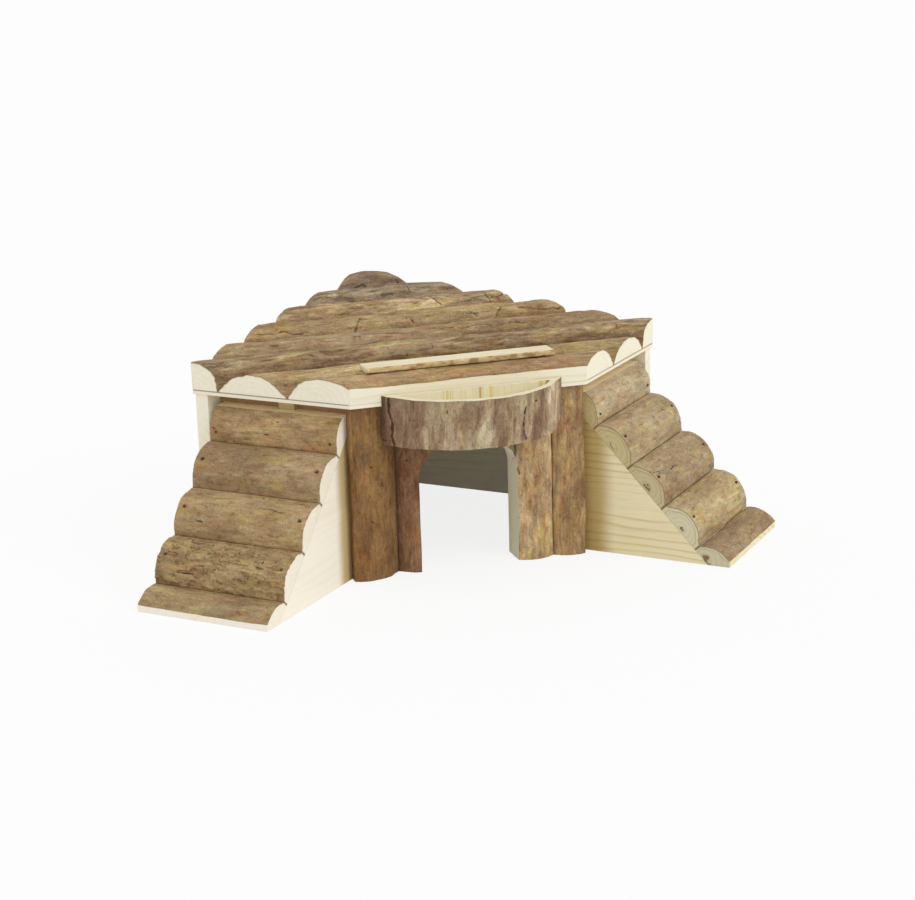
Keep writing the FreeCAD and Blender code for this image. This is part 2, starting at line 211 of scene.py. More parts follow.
class Surface(Nodes):
    """A material. Its patterns are read from the place of a point on the object."""

    def __init__(self, name):
        self.material = bpy.data.materials.new(name)
        self.material.use_nodes = True
        super().__init__(self.material.node_tree)
        self.shader = self.tree.nodes["Principled BSDF"]
        self.place = self.node("ShaderNodeTexCoord", output="Object")

    def vector(self, operation, first, second=None, scale=None):
        values = {0: first}
        if second is not None:
            values[1] = second
        if scale is not None:
            values["Scale"] = scale
        output = "Value" if operation in ("DOT_PRODUCT", "LENGTH") else "Vector"
        return self.node("ShaderNodeVectorMath", {"operation": operation}, values, output)

    def along(self, direction):
        """How far a point lies along a direction."""
        return self.vector("DOT_PRODUCT", self.place, tuple(direction))

    def stretched(self, direction, share, seed=0.0):
        """Coordinates in which the grain direction is shortened, so that a pattern is long."""
        shift = self.vector("SCALE", tuple(direction), scale=self.along(direction) * (share - 1))
        moved = self.vector("ADD", self.place, shift)
        return self.vector("ADD", moved, (seed * 0.37, seed * 0.61, seed * 0.83))

    def noise(self, place, size, detail=3.0, roughness=0.55, distortion=0.0):
        """Noise from 0 to 1 whose lumps are about `size` metres wide."""
        values = {"Vector": place, "Scale": 1 / size, "Detail": detail, "Roughness": roughness,
                  "Distortion": distortion}
        return self.node("ShaderNodeTexNoise", None, values, "Fac")

    def attribute(self, name):
        """A number that the mesh keeps for each of its points."""
        return self.node("ShaderNodeAttribute", {"attribute_name": name}, None, "Fac")

    def fade(self, value, low, high, to_low=0.0, to_high=1.0):
        """A smooth step from one level to another between two values."""
        values = {"Value": value, "From Min": low, "From Max": high, "To Min": to_low, "To Max": to_high}
        return self.node("ShaderNodeMapRange", {"interpolation_type": "SMOOTHSTEP"}, values)

    def mix(self, share, first, second, blend="MIX"):
        settings = {"data_type": "RGBA", "blend_type": blend}
        return self.node("ShaderNodeMix", settings, {0: share, 6: first, 7: second}, 2)

    def tint(self, below, share, tint):
        """Multiplies the channels of a colour, given as a screen shows them, on a share of it."""
        return self.mix(share, below, [part ** 2.2 for part in tint] + [1.0], "MULTIPLY")

    def shaded(self, below, layers):
        """Tints a colour in layers: a pattern, the levels from which to which it sets in, how
        strong it is, and the tint."""
        for pattern, low, high, strength, tint in layers:
            below = self.tint(below, self.fade(pattern, low, high, 0, strength), tint)
        return below

    def laid(self, below, layers):
        """Lays colours over a colour, in the same kind of layers."""
        for pattern, low, high, strength, over in layers:
            below = self.mix(self.fade(pattern, low, high, 0, strength), below, over)
        return below

    def bump(self, height, distance):
        values = {"Height": height, "Distance": distance, "Strength": 1.0}
        return self.node("ShaderNodeBump", None, values, "Normal")

    def finish(self, base, roughness, normal=None):
        self.join(self.shader.inputs["Base Color"], base)
        self.join(self.shader.inputs["Roughness"], roughness)
        if normal is not None:
            self.join(self.shader.inputs["Normal"], normal)
        return self.material


def side_of(along):
    """A direction square to a log's length, along its flat side."""
    return X if abs(along.z) > 0.5 else Z.cross(along)


def bark_surface(name, along, tone, seed, streaks=0.5, patches=0.7, grey=0.5, wrinkles=0.35,
                 bands=0.0, scuffs=0.0, rough=0.15, clouds=0.0, gaps=0.9, foot=(0.42, 0.0, 0.5)):
    """Bark in a log's own tone: soft patches, mottling, fibres along it and wrinkles across it.

    `gaps` is how dark its cracks are, and `foot` from which height to which painted shade darkens it
    towards its flat side, where logs and rungs meet and shade each other, and how much.
    """
    surface = Surface(name)

    def spots(away, share, size, detail=4, way=along):
        place = surface.stretched(way, share, seed + away)
        return surface.noise(place, size * MM, detail, 0.6, 0.4)

    cloud, ochre = spots(1, 0.30, 17, 3), spots(3, 0.36, 6.5, 5)
    pink, cool = spots(5, 0.32, 5.5, 5), spots(9, 0.34, 8.0, 5)
    mottle, grain = spots(11, 0.50, 2.6), spots(13, 0.70, 0.9, 3)
    fibre, line = spots(7, 0.09, 1.3), spots(15, 0.05, 2.2, 3)
    wrinkle, shred = spots(17, 2.6, 2.4, 3), spots(21, 0.22, 3.4, 4)
    plate, crack, bed = (surface.attribute(kept) for kept in ("plate", "crack", "bed"))
    bare = surface.attribute("bare") + (ochre - 0.5) * 1.6

    layers = [
        (cloud, 0.51, 0.66, 0.9, (1.09, 1.11, 1.13)),
        (cloud, 0.49, 0.34, 0.9, (0.88, 0.85, 0.83)),
        (ochre, 0.51, 0.61, patches, (1.05, 1.07, 0.92)),
        (pink, 0.52, 0.62, patches, (1.00, 0.89, 0.85)),
        (cool, 0.53, 0.64, grey, (0.86, 0.89, 0.95)),
    ]
    if clouds:
        broad = spots(25, 0.45, 15, 3)
        layers += [
            (broad, 0.51, 0.62, clouds, (1.12, 1.15, 1.17)),
            (broad, 0.49, 0.38, clouds, (0.80, 0.76, 0.76)),
        ]
    if bands:
        slant = (along + side_of(along) * 0.16).normalized()
        band, blade = spots(19, 0.20, 13.0, 2, slant), spots(23, 0.26, 7.0, 2, slant)
        layers += [
            (band, 0.50, 0.54, bands, (1.11, 1.18, 1.20)),
            (band, 0.49, 0.44, bands, (0.88, 0.85, 0.84)),
            (blade, 0.55, 0.59, bands, (1.13, 1.19, 1.21)),
            (blade, 0.44, 0.39, bands, (0.82, 0.78, 0.76)),
        ]
    layers += [
        (plate, 0.1, 0.7, 0.8, (1.10, 1.09, 1.06)),
        (plate, -0.1, -0.7, 0.8, (0.88, 0.84, 0.80)),
        (bare, 0.3, 0.6, 0.9, (1.18, 1.22, 1.26)),
        (mottle, 0.54, 0.67, 0.7, (1.11, 1.14, 1.18)),
        (mottle, 0.46, 0.34, 0.7, (0.80, 0.77, 0.74)),
        (grain, 0.52, 0.70, 0.6, (1.13, 1.16, 1.20)),
        (grain, 0.48, 0.30, 0.6, (0.80, 0.78, 0.76)),
        (shred, 0.52, 0.62, rough, (1.18, 1.21, 1.24)),
        (shred, 0.48, 0.38, rough, (0.76, 0.72, 0.68)),
        (fibre, 0.53, 0.70, streaks, (1.12, 1.14, 1.17)),
        (fibre, 0.47, 0.31, streaks, (0.78, 0.74, 0.70)),
        (line, 0.37, 0.30, streaks * 0.6, (0.66, 0.60, 0.54)),
        (wrinkle, 0.42, 0.30, wrinkles, (0.76, 0.71, 0.66)),
    ]
    skin = surface.shaded(colour(*tone), layers)
    if scuffs:
        worn = surface.noise(surface.stretched(along, 0.4, seed + 17), 6 * MM, 4, 0.7)
        skin = surface.laid(skin, [(worn, 0.58, 0.68, scuffs, colour(200, 195, 188))])
    # painted shade: darker towards the flat side, where logs and rungs meet and shade each other; then the
    # cracks darken
    skin = surface.shaded(skin, [
        (bed, *foot, (0.72, 0.66, 0.60)),
        (bed, 0.14, 0.0, 0.8, (0.56, 0.50, 0.44)),
        (crack, 0.15, 0.7, gaps, (0.42, 0.36, 0.31)),
    ])
    height = mottle * 0.5 + grain * 0.5 + fibre * streaks + wrinkle * 0.3 + shred * rough
    return surface.finish(skin, surface.fade(grain, 0.3, 0.7, 0.94, 0.80), surface.bump(height, 0.6 * MM))


def end_surface(name, tone=(246, 240, 217), rings=0.22, edge=0.955, bast=0.0, check=0.0):
    """The sawn end of a log: pale wood with faint rings and a thin line of bark round it.

    `edge` is where the bark begins, as a share of the way out from the pith. `bast` is the strength
    of a darker line inside it, and `check` that of a brown crack at the pith.
    """
    surface = Surface(name)
    ring, rim = surface.attribute("ring"), surface.attribute("rim")
    wobble = surface.noise(surface.place, 9 * MM, 3)
    wave = surface.maths("SINE", (ring + wobble * 3.0) * 2.2)
    mottle = surface.noise(surface.place, 5 * MM, 4, 0.6)
    saw_marks = surface.noise(surface.stretched(Z, 0.1), 0.7 * MM, 3, 0.6)
    wood = surface.laid(colour(*tone), [
        (wave, 0.2, 1.0, rings, tinted(tone, 0.94, 0.91, 0.85)),
        (mottle, 0.5, 0.68, 0.35, tinted(tone, 0.96, 0.94, 0.88)),
        (saw_marks, 0.52, 0.75, 0.15, tinted(tone, 0.88, 0.83, 0.74)),
        (rim, 2 * edge - 1, edge, 0.45, tinted(tone, 0.84, 0.76, 0.62)),
    ])
    if check:
        spot = surface.fade(ring, 5.0, 3.4) * surface.fade(mottle, 0.50, 0.56, 0, check)
        wood = surface.mix(spot, wood, colour(112, 84, 46))
    if bast:
        inner = surface.fade(rim, 0.76, 0.80) * surface.fade(rim, 0.83, 0.81, 0, bast)
        wood = surface.mix(inner, wood, tinted(tone, 0.80, 0.72, 0.56))
    wood = surface.laid(wood, [(rim, edge, (1 + edge) / 2, 0.85, colour(124, 98, 66))])
    return surface.finish(wood, 0.72, surface.bump(saw_marks * 0.5 + wave * 0.2, 0.12 * MM))


def pine_surface(name, grain, pith, tone=(240, 233, 208), line=(214, 190, 142), lines=0.45, pitch=5.0,
                 corner=None):
    """A pine board: rings `pitch` mm apart about a far pith line, drawn out along the grain.

    `corner` is a level direction, how far along it the wood is darkest, where a board meets the
    house, and how far that reaches. That darkening is painted shade, for the shade of the corner.
    """
    surface = Surface(name)
    run = surface.stretched(grain, 0.2)
    shortened = pith - grain * grain.dot(pith) * 0.98
    centre = surface.vector("SUBTRACT", surface.stretched(grain, 0.02), tuple(shortened))
    bend = surface.noise(run, 22 * MM, 2, 0.5)
    ring = surface.maths("FRACT", surface.vector("LENGTH", centre) * (1 / (pitch * MM)) + bend * 3.0)
    late = surface.fade(ring, 0.55, 0.92) * surface.fade(ring, 1.0, 0.95) * surface.fade(bend, 0.30, 0.65)
    fibre = surface.noise(surface.stretched(grain, 0.05, 4), 0.8 * MM, 4, 0.6)
    cloud = surface.noise(run, 25 * MM, 2)
    wood = surface.mix(late * lines, colour(*tone), colour(*line))
    wood = surface.laid(wood, [
        (fibre, 0.52, 0.75, lines * 0.5, colour(*line)),
        (cloud, 0.45, 0.7, 0.4, tinted(tone, 0.97, 0.96, 0.92)),
    ])
    # painted shade: the wood darkens towards where the board meets the house and the post
    if corner:
        way, darkest, reach = corner
        depth = surface.along(way) + (bend - 0.5) * 4 * MM
        wood = surface.shaded(wood, [(depth, darkest + reach, darkest + reach * 0.55, 0.85, PAINTED_SHADE_TINT)])
    return surface.finish(wood, surface.fade(late, 0, 1, 0.66, 0.56),
                          surface.bump(fibre * 0.6 + late * 0.5, 0.10 * MM))


def panel_surface(name, front, top):
    """Thin plywood: pale faces, thin darker plies on its edges, and painted shade at the top of its edges,
    in the gap under the logs.
    """
    surface = Surface(name)
    fibre = surface.noise(surface.stretched(X, 0.06), 0.9 * MM, 4, 0.6)
    ply = surface.maths("SINE", surface.along(Z) * (2 * math.pi / (1.25 * MM)))
    # painted shade: a dark line at the top of the edges where the logs sit on the panel, fainter along the
    # front
    painted_gap_shade = surface.fade(surface.along(Z), top - 0.75 * MM, top - 0.35 * MM, 0, 0.8)
    painted_gap_shade *= surface.fade(surface.along(Y), front + 0.3 * MM, front + 1.5 * MM, 0.3, 1)
    wood = surface.laid(colour(244, 237, 216), [
        (fibre, 0.45, 0.75, 0.3, colour(226, 210, 174)),
        (ply, 0.55, 1.0, 0.12, colour(205, 182, 140)),
    ])
    wood = surface.mix(painted_gap_shade, wood, colour(122, 98, 66))
    return surface.finish(wood, 0.66, surface.bump(fibre, 0.08 * MM))


def plate_surface(name, front):
    """The bare name plate: pine with a planed top and a browner, mottled front edge."""
    surface = Surface(name)
    fibre = surface.noise(surface.stretched(X, 0.06), 0.8 * MM, 4, 0.6)
    cloud = surface.noise(surface.stretched(X, 0.3, 2), 7 * MM, 3)
    stain = surface.noise(surface.stretched(X, 0.5, 5), 3.0 * MM, 4, 0.6)
    planed = surface.laid(colour(233, 223, 191), [
        (fibre, 0.45, 0.72, 0.5, colour(212, 190, 140)),
        (cloud, 0.48, 0.66, 0.6, colour(222, 206, 162)),
    ])
    edge = surface.laid(colour(202, 176, 124), [
        (stain, 0.46, 0.60, 0.9, colour(150, 118, 70)),
        (stain, 0.42, 0.34, 0.9, colour(222, 202, 154)),
    ])
    wood = surface.laid(planed, [(surface.along(Y), front + 1.1 * MM, front + 0.6 * MM, 1, edge)])
    return surface.finish(wood, 0.62, surface.bump(fibre + stain * 0.3, 0.10 * MM))


def hollow_surface(name, floor):
    """The gouged wall of the bowl: pale wood with yellow and brown marks that run down it."""
    surface = Surface(name)
    marks = surface.noise(surface.stretched(Z, 0.03), 3.2 * MM, 3, 0.6)
    fine = surface.noise(surface.stretched(Z, 0.05, 3), 0.9 * MM, 3, 0.6)
    torn = surface.noise(surface.stretched(Z, 0.1, 6), 16 * MM, 2)
    rough = surface.fade(torn, 0.42, 0.56) * surface.fade(surface.along(X), -20 * MM, -14 * MM)
    rough *= surface.fade(surface.along(Z), floor + 0.3 * MM, floor + 3 * MM, 0.15, 1)
    wood = surface.laid(colour(240, 232, 200), [(fine, 0.45, 0.7, 0.4, colour(226, 211, 163))])
    wood = surface.mix(rough * surface.fade(marks, 0.50, 0.56, 0, 0.9), wood, colour(222, 202, 124))
    wood = surface.mix(rough * surface.fade(marks, 0.46, 0.40, 0, 0.9), wood, colour(190, 155, 90))
    return surface.finish(wood, 0.7, surface.bump(marks + fine * 0.4, 0.4 * MM))


def steel_surface(name):
    """Dull wire nails, darkened at the cut."""
    surface = Surface(name)
    spots = surface.noise(surface.place, 0.6 * MM, 3)
    surface.join(surface.shader.inputs["Metallic"], 0.8)
    steel = surface.laid(colour(84, 66, 50), [(spots, 0.4, 0.65, 1, colour(122, 100, 78))])
    return surface.finish(steel, surface.fade(spots, 0.3, 0.7, 0.4, 0.65), surface.bump(spots, 0.05 * MM))


# ---- meshes ----

def placed(name, data):
    """Puts a mesh, a camera or a lamp in the scene."""
    made = bpy.data.objects.new(name, data)
    bpy.context.scene.collection.objects.link(made)
    return made


def made_object(name, mesh, materials):
    """Makes an object of a mesh and its materials."""
    data = bpy.data.meshes.new(name)
    mesh.to_mesh(data)
    mesh.free()
    for material in materials:
        data.materials.append(material)
    return placed(name, data)


def piece(name, mesh, materials, node):
    """Makes the finished piece, which stands for its node and rides on that node's body."""
    made = made_object(name, mesh, materials)
    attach(made, frame["nodes"][node]["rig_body"])
    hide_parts(node)
    return made


def merge_flat(mesh):
    """Makes one face of each flat stretch and one edge of each straight line."""
    bmesh.ops.dissolve_limit(mesh, angle_limit=FLAT_ANGLE, verts=mesh.verts, edges=mesh.edges)


def cad_mesh(node):
    """A copy of a construction node with whole flat faces in place of its triangles."""
    mesh = bmesh.new()
    mesh.from_mesh(frame["nodes"][node].data)
    bmesh.ops.remove_doubles(mesh, verts=mesh.verts, dist=MERGE_GAP)
    merge_flat(mesh)
    return mesh


def leave_section(mesh, way, place):
    """Leaves only the outline of a mesh in the plane that lies `place` along a direction."""
    everything = mesh.verts[:] + mesh.edges[:] + mesh.faces[:]
    bmesh.ops.bisect_plane(mesh, geom=everything, dist=NEAR_CUT, plane_co=way * place, plane_no=way,
                           clear_inner=True, clear_outer=True)


def divide(mesh, edge, step):
    """Divides an edge into pieces about one step long."""
    cuts = round(edge.calc_length() / step) - 1
    if cuts > 0:
        bmesh.ops.subdivide_edges(mesh, edges=[edge], cuts=cuts)


def draw_out(mesh, way):
    """Draws an outline out to a tube and gives the points at its far end."""
    drawn = bmesh.ops.extrude_edge_only(mesh, edges=mesh.edges[:])["geom"]
    tips = [item for item in drawn if isinstance(item, bmesh.types.BMVert)]
    bmesh.ops.translate(mesh, verts=tips, vec=way)
    return tips


def round_edges(mesh, edges, radius, segments):
    bmesh.ops.bevel(mesh, geom=edges, offset=radius, affect="EDGES", segments=segments, profile=0.5,
                    material=-1)


def volume_of(data):
    mesh = bmesh.new()
    mesh.from_mesh(data)
    volume = mesh.calc_volume()
    mesh.free()
    return volume


def cut_away(made, cutter):
    """Cuts the space of another object out of a piece. A cut that fails is made again, a hair lower."""
    cut = made.modifiers.new("cut", "BOOLEAN")
    cut.object, cut.operation, cut.solver = cutter, "DIFFERENCE", "EXACT"
    cut.material_mode = "TRANSFER"
    least = LEAST_LEFT * volume_of(made.data)
    for _ in range(CUT_TRIES):
        bpy.context.view_layer.update()
        shaped = bpy.data.meshes.new_from_object(made.evaluated_get(bpy.context.evaluated_depsgraph_get()))
        if volume_of(shaped) > least:
            break
        cutter.data.transform(Matrix.Translation(-Z * CUT_SHIFT))
    made.modifiers.clear()
    made.data = shaped


# ---- bark ----

class Bark:
    """The relief of one log's bark, unrolled, in mm: X runs along the log and Y round it."""

    # Patterns: how strong, how long, how wide, and a number that sets one apart from the others.
    LUMPS = ((1.6, 44, 14, 0), (0.8, 17, 8, 5))
    RIDGES = ((1.0, 20, 2.6, 11), (0.7, 7, 1.4, 17))
    SWAY = ((3.0, 18, 9, 23), (0.9, 5, 4, 29))
    DRIFT = ((3.0, 9, 14, 27), (0.9, 4, 4, 31))
    WIGGLES = ((1.6, 9, 41), (0.5, 2.5, 45))

    def __init__(self, seed, lumps=0.5, ridges=0.25, strips=0.3, cracks=0.12, plates=0.0, droop=0.0,
                 foot=0.05, gape=0.6, splits=(), bare=()):
        """`droop` is how far both ends sag, `foot` the share of the log's height below which it has
        no relief, and `gape` half the width of a chosen split."""
        self.shift = seed * 7.13
        self.lumps, self.ridges, self.strips = lumps, ridges, strips
        self.cracks, self.plates, self.droop = cracks, plates, droop
        self.foot, self.gape, self.dents = foot, gape, []
        self.splits = [(Vector(start) * MM, Vector(end) * MM) for start, end in splits]
        self.bare = [(Vector(centre) * MM, long, wide) for centre, long, wide in bare]

    def place_marks(self, unroll):
        """Finds where the splits, the bare spots and the nails' dents lie on the unrolled log."""
        self.split_lines = [(unroll(start), unroll(end)) for start, end in self.splits]
        self.bare_spots = [(unroll(centre), long, wide) for centre, long, wide in self.bare]
        self.dent_spots = [unroll(head) for head in self.dents]

    def field(self, spot, long, wide, away):
        """Smooth noise from -1 to 1."""
        return noise.noise(Vector((spot.x / long + self.shift, spot.y / wide, away * 1.7 + self.shift)))

    def pattern(self, spot, rows):
        return sum(strong * self.field(spot, long, wide, away) for strong, long, wide, away in rows)

    def lines(self, way, over, gap, length, away):
        """Thin cracks about `gap` apart, each there for part of its way, and the strips between."""
        turn = over / gap
        nearest, strip = round(turn), math.floor(turn)
        there = noise.noise(Vector((way / length, nearest * 7.7 + self.shift, away))) - (0.5 - self.cracks)
        crack = max(0.0, 1 - abs(turn - nearest) * gap / CRACK_HALF) * max(0.0, min(1.0, there / 0.1))
        level = noise.noise(Vector((way / length, strip * 5.3 + self.shift, away + 9)))
        return crack, level * 2.0

    def plate_at(self, spot):
        """Small cells of flaky bark: the height of this one, and the gap beside it."""
        moved = spot + Vector((self.field(spot, 9, 6, 33) * 3, self.field(spot, 10, 6, 37) * 2, 0))
        cell = Vector((moved.x / PLATE_LONG + self.shift, moved.y / PLATE_WIDE, self.shift))
        distances, centres = noise.voronoi(cell)
        own, other = (noise.noise(centre * 9.7) * 1.8 for centre in centres[:2])
        edge = distances[1] - distances[0]
        return own, max(0.0, 1 - edge / PLATE_GAP) * min(0.6, abs(own - other))

    def split_at(self, spot):
        """The chosen splits: how open one is here, and how far its one edge is lifted."""
        open_here, lift = 0.0, 0.0
        wiggle = Vector()
        for strong, size, away in self.WIGGLES:
            pair = [self.field(spot, size, size, away + second) for second in (0, 2)]
            wiggle += Vector((*pair, 0)) * strong
        for start, end in self.split_lines:
            run, here = end - start, spot + wiggle - start
            share = max(0.0, min(1.0, here.dot(run) / run.dot(run)))
            gap = (here - run * share).length
            gape = self.gape * (0.5 + 1.2 * abs(self.field(spot, 3, 3, 49)))
            open_here = max(open_here, min(1.0, 1.4 - 1.4 * gap / gape))
            if run.x * here.y - run.y * here.x > 0:
                lift = max(lift, 1 - gap / LIFTED_EDGE)
        return open_here, lift

    def at(self, spot):
        """The depth at a spot, and how much plate, crack and bare wood is there."""
        depth = self.lumps * self.pattern(spot, self.LUMPS)
        depth += self.ridges * self.pattern(spot, self.RIDGES)
        over, way = spot.y + self.pattern(spot, self.SWAY), spot.x + self.pattern(spot, self.DRIFT)
        crack, level = self.lines(spot.x, over, STRIP, CRACK_RUN, 3)
        across, part = self.lines(spot.y, way, 3 * STRIP, CROSS_RUN, 6)
        crack = max(crack, across)
        plate = (level + 0.5 * part) * self.strips
        if self.plates:
            cell, gap = self.plate_at(spot)
            plate += cell * self.plates
            crack = max(crack, gap * self.plates)
        if self.split_lines:
            split, lift = self.split_at(spot)
            crack, plate = max(crack, split), plate + lift * 0.5
        bare = 0.0
        for centre, long, wide in self.bare_spots:
            reach = math.hypot((spot.x - centre.x) / long, (spot.y - centre.y) / wide)
            bare = max(bare, min(1.0, 1.6 - reach * 1.1))
        for dent in self.dent_spots:
            crack = max(crack, DENT_DEPTH * min(1.0, DENT_EDGE - (spot - dent).length))
        depth += PLATE_HEIGHT * plate - CRACK_DEPTH * crack - BARE_DEPTH * bare
        return min(depth + BARK_MEAN, BARK_MOST), plate, crack, bare


# ---- half logs ----

def end_planes(mesh, along):
    """The planes that saw off both ends of a log, as points and outward directions."""
    planes = []
    upright = abs(along.z) > 0.5
    for way in (along, -along):
        tip = max((v.co for v in mesh.verts), key=lambda place: place.dot(way)).copy()
        found = [(tip, way)] if upright else []
        for face in mesh.faces:
            point, normal = face.calc_center_median(), face.normal.copy()
            outermost = max((v.co - point).dot(normal) for v in mesh.verts) < OUTERMOST
            known = any(normal.dot(other) > SAME_WAY for _, other in found)
            if normal.dot(way) > END_TILT and face.calc_area() > LEAST_END_AREA and outermost and not known:
                found.append((point, normal))
        planes += found or [(tip, way)]
    return planes


def log_tube(node, along, flats, share):
    """The section of a log, drawn out past both ends, with fine steps on its bark."""
    mesh = cad_mesh(node)
    planes = end_planes(mesh, along)
    reach = [v.co.dot(along) for v in mesh.verts]
    low, high = min(reach), max(reach)
    place = low + share * (high - low)
    leave_section(mesh, along, place)
    merge_flat(mesh)
    bmesh.ops.translate(mesh, verts=mesh.verts, vec=along * (low - SPARE_END - place))
    length = high - low + 2 * SPARE_END
    middle = sum((v.co for v in mesh.verts), Vector()) / len(mesh.verts)
    for edge in mesh.edges[:]:
        a, b = edge.verts
        out = (b.co - a.co).cross(along).normalized()
        if out.dot((a.co + b.co) / 2 - middle) < 0:
            out = -out
        if not any(out.dot(flat) > SAME_WAY for flat in flats):
            divide(mesh, edge, STEP_AROUND)
    draw_out(mesh, along * length)
    long_edges = [e for e in mesh.edges if abs((e.verts[0].co - e.verts[1].co).dot(along)) > length / 2]
    bmesh.ops.subdivide_edges(mesh, edges=long_edges, cuts=round(length / STEP_ALONG))
    bmesh.ops.recalc_face_normals(mesh, faces=mesh.faces)
    if sum((f.calc_center_median() - middle).dot(f.normal) for f in mesh.faces) < 0:
        bmesh.ops.reverse_faces(mesh, faces=mesh.faces)
    return mesh, planes, middle


def shape_bark(mesh, bark, along, middle, flats, top):
    """Moves the bark in and out and keeps what its material needs to know of each point."""
    plate, crack, bare, ring, rim, bed = (mesh.verts.layers.float.new(name)
                                          for name in ("plate", "crack", "bare", "ring", "rim", "bed"))
    up = -flats[0]
    side = along.cross(up)
    sawn = {face.index: next((f for f in flats if face.normal.dot(f) > SAME_WAY), None)
            for face in mesh.faces}
    heights = [(v.co - middle).dot(up) for v in mesh.verts]
    foot, crest = min(heights), max(heights)
    half = max(abs((v.co - middle).dot(side)) for v in mesh.verts)
    ways = [v.co.dot(along) for v in mesh.verts]
    first, length = min(ways) + SPARE_END, max(ways) - min(ways) - 2 * SPARE_END

    def unroll(place):
        away = place - middle
        turn = math.atan2(away.dot(side), away.dot(up) - foot)
        return Vector((place.dot(along), turn * half, 0)) / MM

    bark.place_marks(unroll)
    for vertex in mesh.verts:
        barks = [face for face in vertex.link_faces if sawn[face.index] is None]
        away = vertex.co - middle
        vertex[ring] = math.hypot(away.dot(side), away.dot(up) - foot) / MM
        if not barks:
            continue
        way = sum((face.normal for face in barks), Vector())
        for face in vertex.link_faces:
            flat = sawn[face.index]
            if flat is not None:
                way -= flat * way.dot(flat)
        share = min(1.0, max(0.0, (vertex.co.dot(along) - first) / length))
        depth, vertex[plate], vertex[crack], vertex[bare] = bark.at(unroll(vertex.co))
        vertex[rim] = 1.0
        vertex[bed] = (away.dot(up) - foot) / (crest - foot)
        depth *= min(1.0, max(0.0, vertex[bed] - bark.foot) / BED_RISE)
        sunk = bark.droop * (2 * share - 1) ** 2 * vertex[bed] ** 2
        vertex.co += (way.normalized() * depth - up * sunk) * MM
        vertex.co.z = min(vertex.co.z, top)
    for face in mesh.faces:
        face.smooth = sawn[face.index] is None
        face.material_index = BARK if face.smooth else FLAT
    return ring, rim, foot, up, side


def saw(mesh, planes, material):
    """Cuts flat ends or chips off a log and closes them."""
    for point, outward in planes:
        everything = mesh.verts[:] + mesh.edges[:] + mesh.faces[:]
        cut = bmesh.ops.bisect_plane(mesh, geom=everything, dist=NEAR_CUT, plane_co=point,
                                     plane_no=outward, clear_outer=True)["geom_cut"]
        edges = [item for item in cut if isinstance(item, bmesh.types.BMEdge)]
        bmesh.ops.edgeloop_fill(mesh, edges=edges, mat_nr=material, use_smooth=False)


def fan_ends(mesh, middle, ring, rim, foot, up, side):
    """Divides each sawn end from its pith, so that its rings follow the log."""
    for cap in [face for face in mesh.faces if face.material_index == END]:
        normal, median = cap.normal.copy(), cap.calc_center_median()
        pith = middle + up * foot
        along = side.cross(up)
        pith += along * ((median - pith).dot(normal) / along.dot(normal))
        fan = bmesh.ops.poke(mesh, faces=[cap])
        for vertex in fan["verts"]:
            vertex.co = pith.lerp(median, PITH_SHARE)
            vertex[rim] = 0.0
            place = vertex.co - middle
            vertex[ring] = Vector((place.dot(side), place.dot(up) - foot)).length / MM
        for face in fan["faces"]:
            face.material_index, face.smooth = END, False


def half_log(name, node, along, flats, bark, materials, share=0.42, chips=()):
    """One bark-covered half log in the place of its construction node.

    `flats` are the directions of its flat sides, `share` is where along it its section is taken, and
    `chips` are planes that cut a piece off it.
    """
    mesh, planes, middle = log_tube(node, along, flats, share)
    layers = shape_bark(mesh, bark, along, middle, flats, cad_high.z)
    saw(mesh, planes, END)
    fan_ends(mesh, middle, *layers)
    saw(mesh, chips, FLAT)
    return piece(name, mesh, materials, node)


# ---- the roof ----

ROOF_LOGS = [
    # tone, how shredded it looks, and the bark: its seed, lumps, ridges, strips and cracks
    ((168, 138, 98), 0.3, Bark(1, 0.35, 0.3, 0.15, 0.04)),
    ((180, 156, 113), 0.4, Bark(2, 0.5, 0.35, 0.2, 0.08)),
    ((160, 136, 101), 0.85, Bark(3, 0.5, 0.45, 0.3, 0.12)),
    ((162, 137, 101), 0.4, Bark(4, 0.5, 0.45, 0.3, 0.12, splits=[
        ((13, 11.8, 118.4), (66, 11, 117.9)),
        ((-39, 13.8, 119.2), (-14, 13.3, 119.9)),
    ])),
    ((168, 142, 101), 0.45, Bark(5, 0.7, 0.45, 0.4, 0.14, splits=[
        ((-27, 38, 125), (-34, 32.5, 118)),
        ((-78, 33.2, 120.5), (-62, 33, 120.5)),
        ((1, 36, 123), (2.5, 32, 118)),
        ((38, 36, 123), (42, 32.5, 119.5)),
        ((59, 37, 124), (54, 32, 118)),
        ((69, 36, 123), (96, 33, 119.4)),
    ])),
    ((166, 141, 103), 0.9, Bark(6, 0.6, 0.45, 0.35, 0.12, splits=[
        ((55, 66, 127.5), (61.4, 57, 123.8)),
        ((61.4, 57, 123.8), (60, 55, 119)),
        ((61.4, 59, 125), (74, 60, 125.5)),
        ((23, 64, 127.3), (29, 56.5, 122.5)),
    ], bare=[((14, 59, 125), 13, 3.2)])),
    ((150, 131, 103), 0.9, Bark(7, 0.6, 0.45, 0.3, 0.12, droop=1.5, bare=[((-31.8, 85.6, 131), 3, 1.6)])),
    ((142, 118, 94), 0.4, Bark(8, 0.35, 0.35, 0.2, 0.05, droop=9.0)),
]


def make_roof(end, board):
    """The roof logs, from the front to the back corner. The first is sawn flat along the front too."""
    names = sorted(n for n in frame["nodes"] if n.startswith("roof_log"))
    for number, (node, (tone, rough, bark)) in enumerate(zip(names, ROOF_LOGS), 1):
        # foot: painted shade on the lower part of each roof log's visible strip, below the crest of the log
        # before it
        skin = bark_surface("bark_" + node, X, tone, number * 1.7, rough=rough, gaps=0.62,
                            foot=(0.86, 0.52, 0.6))
        flats = [-Z, -Y] if number == 1 else [-Z]
        half_log(node + "_bark", node, X, flats, bark, [skin, end, board])


# ---- the front ----

